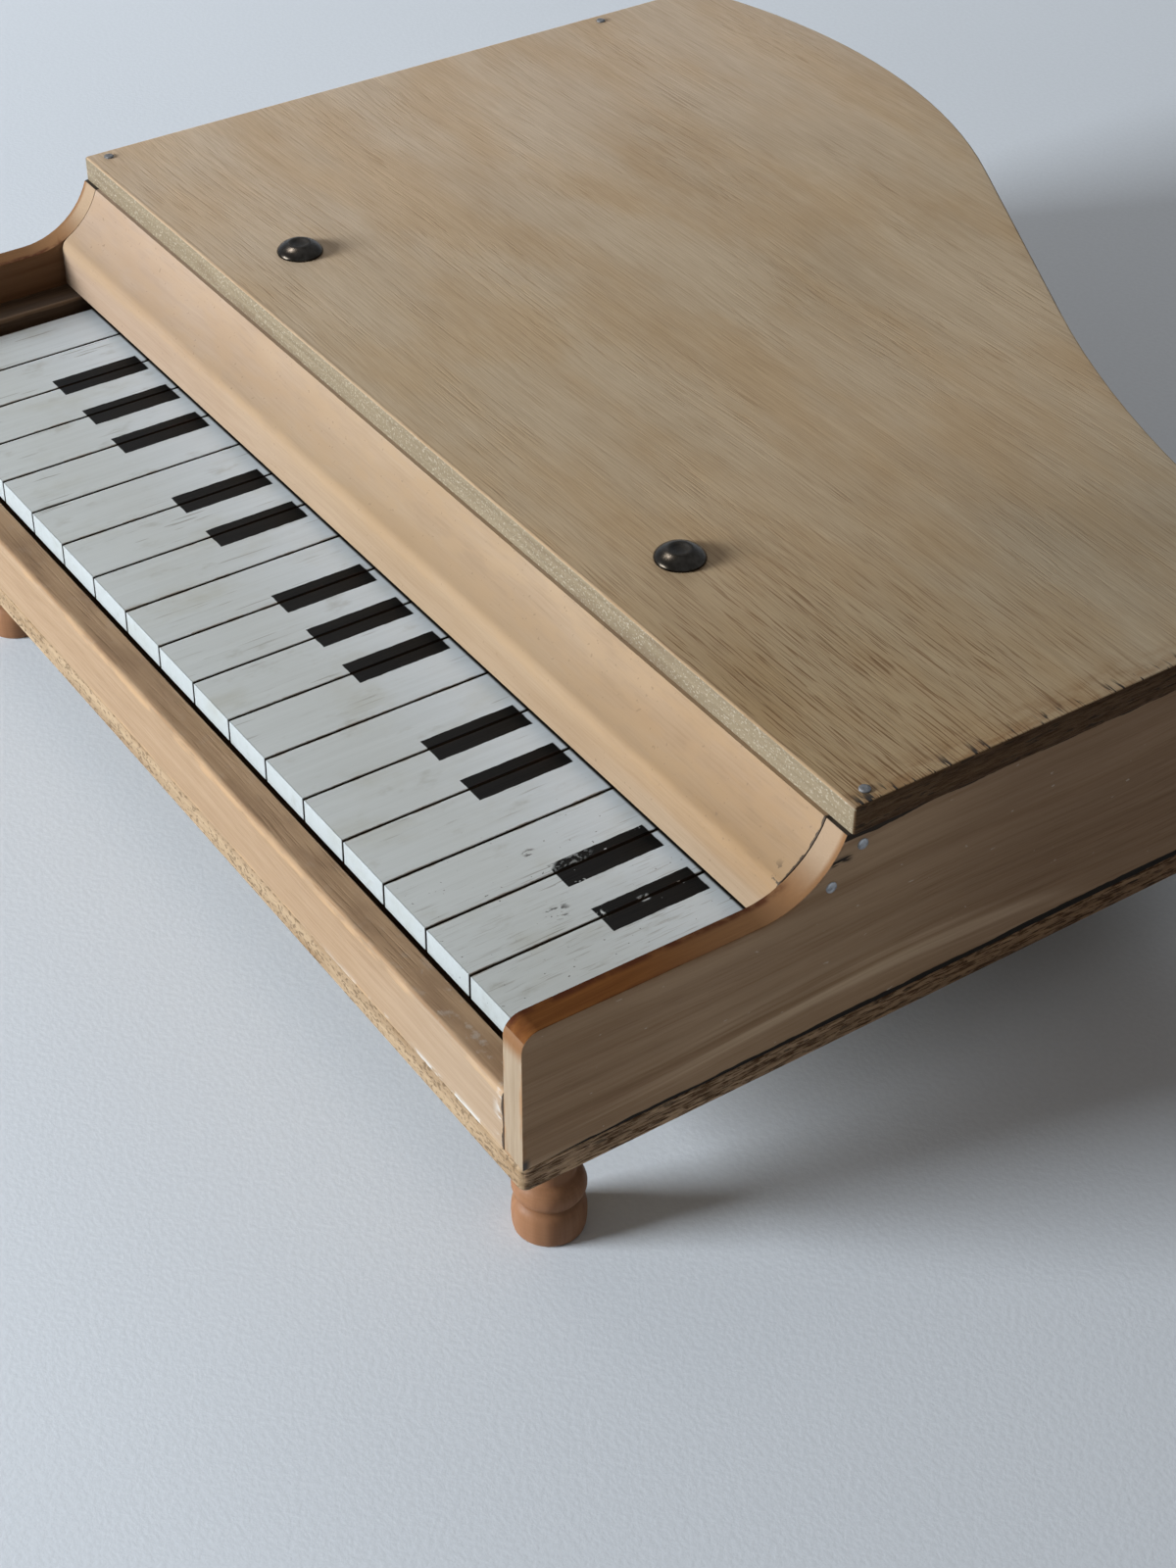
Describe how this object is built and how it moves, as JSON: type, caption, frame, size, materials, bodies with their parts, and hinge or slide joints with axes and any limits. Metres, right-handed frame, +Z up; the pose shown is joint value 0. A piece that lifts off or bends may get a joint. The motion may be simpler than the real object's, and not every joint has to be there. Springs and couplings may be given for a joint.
{
  "type": "toy piano",
  "caption": "Wooden toy grand piano: painted white keys rock on a pivot rod and flip hammers up at steel tone rods under a nailed plywood lid, on turned peg legs.",
  "frame": {"origin": "on the table, under the centre of the bounding box", "axes": "+X along the keyboard toward the treble end, +Y toward the tail, +Z up"},
  "size_m": [0.281, 0.246, 0.0731],
  "materials": {
    "board_plywood": "raw plywood with a worn edge",
    "lid_plywood": "aged grey-tan plywood, satin",
    "bent_plywood": "aged bent plywood, satin",
    "side_wood": "aged brown-grey wood, satin",
    "fallboard_wood": "pale orange-beige wood, satin",
    "rail_wood": "pale tan wood, satin",
    "plain_wood": "unfinished wood",
    "leg_wood": "turned and oiled wood",
    "felt": "pressed felt",
    "steel_wire": "drawn wire",
    "iron_block": "cast, unpainted",
    "dark_screw": "dark bronzed steel",
    "nail_steel": "dull wire nail",
    "painted_key": "white paint with painted black sharps, chipped",
    "hammer_wood": "unfinished wood"
  },
  "bodies": {
    "case": {"bottom_board": "board_plywood", "lid": "lid_plywood", "bent_side": "bent_plywood", "left_side": "side_wood", "right_side": "side_wood", "fallboard": "fallboard_wood", "front_rail": "rail_wood", "left_cheek": "plain_wood", "right_cheek": "plain_wood", "back_rest_rail": "plain_wood", "hammer_rail": "plain_wood", "leg_front_left": "leg_wood", "leg_front_right": "leg_wood", "leg_rear": "leg_wood", "front_stop_felt": "felt", "back_rest_felt": "felt", "key_pivot_rod": "steel_wire", "hammer_axle": "steel_wire", "tone_rods": "steel_wire", "tone_block": "iron_block", "tone_block_screws": "dark_screw", "lid_nails": "nail_steel", "side_nails": "nail_steel"},
    "key_lever_01": {"key_01": "painted_key"},
    "key_lever_02": {"key_02": "painted_key"},
    "key_lever_03": {"key_03": "painted_key"},
    "key_lever_04": {"key_04": "painted_key"},
    "key_lever_05": {"key_05": "painted_key"},
    "key_lever_06": {"key_06": "painted_key"},
    "key_lever_07": {"key_07": "painted_key"},
    "key_lever_08": {"key_08": "painted_key"},
    "key_lever_09": {"key_09": "painted_key"},
    "key_lever_10": {"key_10": "painted_key"},
    "key_lever_11": {"key_11": "painted_key"},
    "key_lever_12": {"key_12": "painted_key"},
    "key_lever_13": {"key_13": "painted_key"},
    "key_lever_14": {"key_14": "painted_key"},
    "key_lever_15": {"key_15": "painted_key"},
    "key_lever_16": {"key_16": "painted_key"},
    "key_lever_17": {"key_17": "painted_key"},
    "key_lever_18": {"key_18": "painted_key"},
    "hammer_lever_01": {"hammer_01": "hammer_wood"},
    "hammer_lever_02": {"hammer_02": "hammer_wood"},
    "hammer_lever_03": {"hammer_03": "hammer_wood"},
    "hammer_lever_04": {"hammer_04": "hammer_wood"},
    "hammer_lever_05": {"hammer_05": "hammer_wood"},
    "hammer_lever_06": {"hammer_06": "hammer_wood"},
    "hammer_lever_07": {"hammer_07": "hammer_wood"},
    "hammer_lever_08": {"hammer_08": "hammer_wood"},
    "hammer_lever_09": {"hammer_09": "hammer_wood"},
    "hammer_lever_10": {"hammer_10": "hammer_wood"},
    "hammer_lever_11": {"hammer_11": "hammer_wood"},
    "hammer_lever_12": {"hammer_12": "hammer_wood"},
    "hammer_lever_13": {"hammer_13": "hammer_wood"},
    "hammer_lever_14": {"hammer_14": "hammer_wood"},
    "hammer_lever_15": {"hammer_15": "hammer_wood"},
    "hammer_lever_16": {"hammer_16": "hammer_wood"},
    "hammer_lever_17": {"hammer_17": "hammer_wood"},
    "hammer_lever_18": {"hammer_18": "hammer_wood"}
  },
  "joints": [
    {"name": "key_01_press", "type": "hinge", "parent": "case", "child": "key_lever_01", "pos_m": [-0.119, -0.0512, 0.0368], "axis": [1, 0, 0], "range_deg": [0, 4.48], "stiffness_Nm_per_rad": 0.08, "springref_deg": -14.32},
    {"name": "key_02_press", "type": "hinge", "parent": "case", "child": "key_lever_02", "pos_m": [-0.105, -0.0512, 0.0368], "axis": [1, 0, 0], "range_deg": [0, 4.48], "stiffness_Nm_per_rad": 0.08, "springref_deg": -14.32},
    {"name": "key_03_press", "type": "hinge", "parent": "case", "child": "key_lever_03", "pos_m": [-0.091, -0.0512, 0.0368], "axis": [1, 0, 0], "range_deg": [0, 4.48], "stiffness_Nm_per_rad": 0.08, "springref_deg": -14.32},
    {"name": "key_04_press", "type": "hinge", "parent": "case", "child": "key_lever_04", "pos_m": [-0.077, -0.0512, 0.0368], "axis": [1, 0, 0], "range_deg": [0, 4.48], "stiffness_Nm_per_rad": 0.08, "springref_deg": -14.32},
    {"name": "key_05_press", "type": "hinge", "parent": "case", "child": "key_lever_05", "pos_m": [-0.063, -0.0512, 0.0368], "axis": [1, 0, 0], "range_deg": [0, 4.48], "stiffness_Nm_per_rad": 0.08, "springref_deg": -14.32},
    {"name": "key_06_press", "type": "hinge", "parent": "case", "child": "key_lever_06", "pos_m": [-0.049, -0.0512, 0.0368], "axis": [1, 0, 0], "range_deg": [0, 4.48], "stiffness_Nm_per_rad": 0.08, "springref_deg": -14.32},
    {"name": "key_07_press", "type": "hinge", "parent": "case", "child": "key_lever_07", "pos_m": [-0.035, -0.0512, 0.0368], "axis": [1, 0, 0], "range_deg": [0, 4.48], "stiffness_Nm_per_rad": 0.08, "springref_deg": -14.32},
    {"name": "key_08_press", "type": "hinge", "parent": "case", "child": "key_lever_08", "pos_m": [-0.021, -0.0512, 0.0368], "axis": [1, 0, 0], "range_deg": [0, 4.48], "stiffness_Nm_per_rad": 0.08, "springref_deg": -14.32},
    {"name": "key_09_press", "type": "hinge", "parent": "case", "child": "key_lever_09", "pos_m": [-0.007, -0.0512, 0.0368], "axis": [1, 0, 0], "range_deg": [0, 4.48], "stiffness_Nm_per_rad": 0.08, "springref_deg": -14.32},
    {"name": "key_10_press", "type": "hinge", "parent": "case", "child": "key_lever_10", "pos_m": [0.007, -0.0512, 0.0368], "axis": [1, 0, 0], "range_deg": [0, 4.48], "stiffness_Nm_per_rad": 0.08, "springref_deg": -14.32},
    {"name": "key_11_press", "type": "hinge", "parent": "case", "child": "key_lever_11", "pos_m": [0.021, -0.0512, 0.0368], "axis": [1, 0, 0], "range_deg": [0, 4.48], "stiffness_Nm_per_rad": 0.08, "springref_deg": -14.32},
    {"name": "key_12_press", "type": "hinge", "parent": "case", "child": "key_lever_12", "pos_m": [0.035, -0.0512, 0.0368], "axis": [1, 0, 0], "range_deg": [0, 4.48], "stiffness_Nm_per_rad": 0.08, "springref_deg": -14.32},
    {"name": "key_13_press", "type": "hinge", "parent": "case", "child": "key_lever_13", "pos_m": [0.049, -0.0512, 0.0368], "axis": [1, 0, 0], "range_deg": [0, 4.48], "stiffness_Nm_per_rad": 0.08, "springref_deg": -14.32},
    {"name": "key_14_press", "type": "hinge", "parent": "case", "child": "key_lever_14", "pos_m": [0.063, -0.0512, 0.0368], "axis": [1, 0, 0], "range_deg": [0, 4.48], "stiffness_Nm_per_rad": 0.08, "springref_deg": -14.32},
    {"name": "key_15_press", "type": "hinge", "parent": "case", "child": "key_lever_15", "pos_m": [0.077, -0.0512, 0.0368], "axis": [1, 0, 0], "range_deg": [0, 4.48], "stiffness_Nm_per_rad": 0.08, "springref_deg": -14.32},
    {"name": "key_16_press", "type": "hinge", "parent": "case", "child": "key_lever_16", "pos_m": [0.091, -0.0512, 0.0368], "axis": [1, 0, 0], "range_deg": [0, 4.48], "stiffness_Nm_per_rad": 0.08, "springref_deg": -14.32},
    {"name": "key_17_press", "type": "hinge", "parent": "case", "child": "key_lever_17", "pos_m": [0.105, -0.0512, 0.0368], "axis": [1, 0, 0], "range_deg": [0, 4.48], "stiffness_Nm_per_rad": 0.08, "springref_deg": -14.32},
    {"name": "key_18_press", "type": "hinge", "parent": "case", "child": "key_lever_18", "pos_m": [0.119, -0.0512, 0.0368], "axis": [1, 0, 0], "range_deg": [0, 4.48], "stiffness_Nm_per_rad": 0.08, "springref_deg": -14.32},
    {"name": "hammer_01_flip", "type": "hinge", "parent": "case", "child": "hammer_lever_01", "pos_m": [-0.119, 0.0108, 0.0413], "axis": [1, 0, 0], "range_deg": [-20.5, 0]},
    {"name": "hammer_02_flip", "type": "hinge", "parent": "case", "child": "hammer_lever_02", "pos_m": [-0.105, 0.0108, 0.0413], "axis": [1, 0, 0], "range_deg": [-20.5, 0]},
    {"name": "hammer_03_flip", "type": "hinge", "parent": "case", "child": "hammer_lever_03", "pos_m": [-0.091, 0.0108, 0.0413], "axis": [1, 0, 0], "range_deg": [-20.5, 0]},
    {"name": "hammer_04_flip", "type": "hinge", "parent": "case", "child": "hammer_lever_04", "pos_m": [-0.077, 0.0108, 0.0413], "axis": [1, 0, 0], "range_deg": [-20.5, 0]},
    {"name": "hammer_05_flip", "type": "hinge", "parent": "case", "child": "hammer_lever_05", "pos_m": [-0.063, 0.0108, 0.0413], "axis": [1, 0, 0], "range_deg": [-20.5, 0]},
    {"name": "hammer_06_flip", "type": "hinge", "parent": "case", "child": "hammer_lever_06", "pos_m": [-0.049, 0.0108, 0.0413], "axis": [1, 0, 0], "range_deg": [-20.5, 0]},
    {"name": "hammer_07_flip", "type": "hinge", "parent": "case", "child": "hammer_lever_07", "pos_m": [-0.035, 0.0108, 0.0413], "axis": [1, 0, 0], "range_deg": [-20.5, 0]},
    {"name": "hammer_08_flip", "type": "hinge", "parent": "case", "child": "hammer_lever_08", "pos_m": [-0.021, 0.0108, 0.0413], "axis": [1, 0, 0], "range_deg": [-20.5, 0]},
    {"name": "hammer_09_flip", "type": "hinge", "parent": "case", "child": "hammer_lever_09", "pos_m": [-0.007, 0.0108, 0.0413], "axis": [1, 0, 0], "range_deg": [-20.5, 0]},
    {"name": "hammer_10_flip", "type": "hinge", "parent": "case", "child": "hammer_lever_10", "pos_m": [0.007, 0.0108, 0.0413], "axis": [1, 0, 0], "range_deg": [-20.5, 0]},
    {"name": "hammer_11_flip", "type": "hinge", "parent": "case", "child": "hammer_lever_11", "pos_m": [0.021, 0.0108, 0.0413], "axis": [1, 0, 0], "range_deg": [-20.5, 0]},
    {"name": "hammer_12_flip", "type": "hinge", "parent": "case", "child": "hammer_lever_12", "pos_m": [0.035, 0.0108, 0.0413], "axis": [1, 0, 0], "range_deg": [-20.5, 0]},
    {"name": "hammer_13_flip", "type": "hinge", "parent": "case", "child": "hammer_lever_13", "pos_m": [0.049, 0.0108, 0.0413], "axis": [1, 0, 0], "range_deg": [-20.5, 0]},
    {"name": "hammer_14_flip", "type": "hinge", "parent": "case", "child": "hammer_lever_14", "pos_m": [0.063, 0.0108, 0.0413], "axis": [1, 0, 0], "range_deg": [-20.5, 0]},
    {"name": "hammer_15_flip", "type": "hinge", "parent": "case", "child": "hammer_lever_15", "pos_m": [0.077, 0.0108, 0.0413], "axis": [1, 0, 0], "range_deg": [-20.5, 0]},
    {"name": "hammer_16_flip", "type": "hinge", "parent": "case", "child": "hammer_lever_16", "pos_m": [0.091, 0.0108, 0.0413], "axis": [1, 0, 0], "range_deg": [-20.5, 0]},
    {"name": "hammer_17_flip", "type": "hinge", "parent": "case", "child": "hammer_lever_17", "pos_m": [0.105, 0.0108, 0.0413], "axis": [1, 0, 0], "range_deg": [-20.5, 0]},
    {"name": "hammer_18_flip", "type": "hinge", "parent": "case", "child": "hammer_lever_18", "pos_m": [0.119, 0.0108, 0.0413], "axis": [1, 0, 0], "range_deg": [-20.5, 0]}
  ],
  "couplings": [
    {"joint": "hammer_01_flip", "follows": "key_01_press", "ratio": -4.55},
    {"joint": "hammer_02_flip", "follows": "key_02_press", "ratio": -4.55},
    {"joint": "hammer_03_flip", "follows": "key_03_press", "ratio": -4.55},
    {"joint": "hammer_04_flip", "follows": "key_04_press", "ratio": -4.55},
    {"joint": "hammer_05_flip", "follows": "key_05_press", "ratio": -4.55},
    {"joint": "hammer_06_flip", "follows": "key_06_press", "ratio": -4.55},
    {"joint": "hammer_07_flip", "follows": "key_07_press", "ratio": -4.55},
    {"joint": "hammer_08_flip", "follows": "key_08_press", "ratio": -4.55},
    {"joint": "hammer_09_flip", "follows": "key_09_press", "ratio": -4.55},
    {"joint": "hammer_10_flip", "follows": "key_10_press", "ratio": -4.55},
    {"joint": "hammer_11_flip", "follows": "key_11_press", "ratio": -4.55},
    {"joint": "hammer_12_flip", "follows": "key_12_press", "ratio": -4.55},
    {"joint": "hammer_13_flip", "follows": "key_13_press", "ratio": -4.55},
    {"joint": "hammer_14_flip", "follows": "key_14_press", "ratio": -4.55},
    {"joint": "hammer_15_flip", "follows": "key_15_press", "ratio": -4.55},
    {"joint": "hammer_16_flip", "follows": "key_16_press", "ratio": -4.55},
    {"joint": "hammer_17_flip", "follows": "key_17_press", "ratio": -4.55},
    {"joint": "hammer_18_flip", "follows": "key_18_press", "ratio": -4.55}
  ]
}
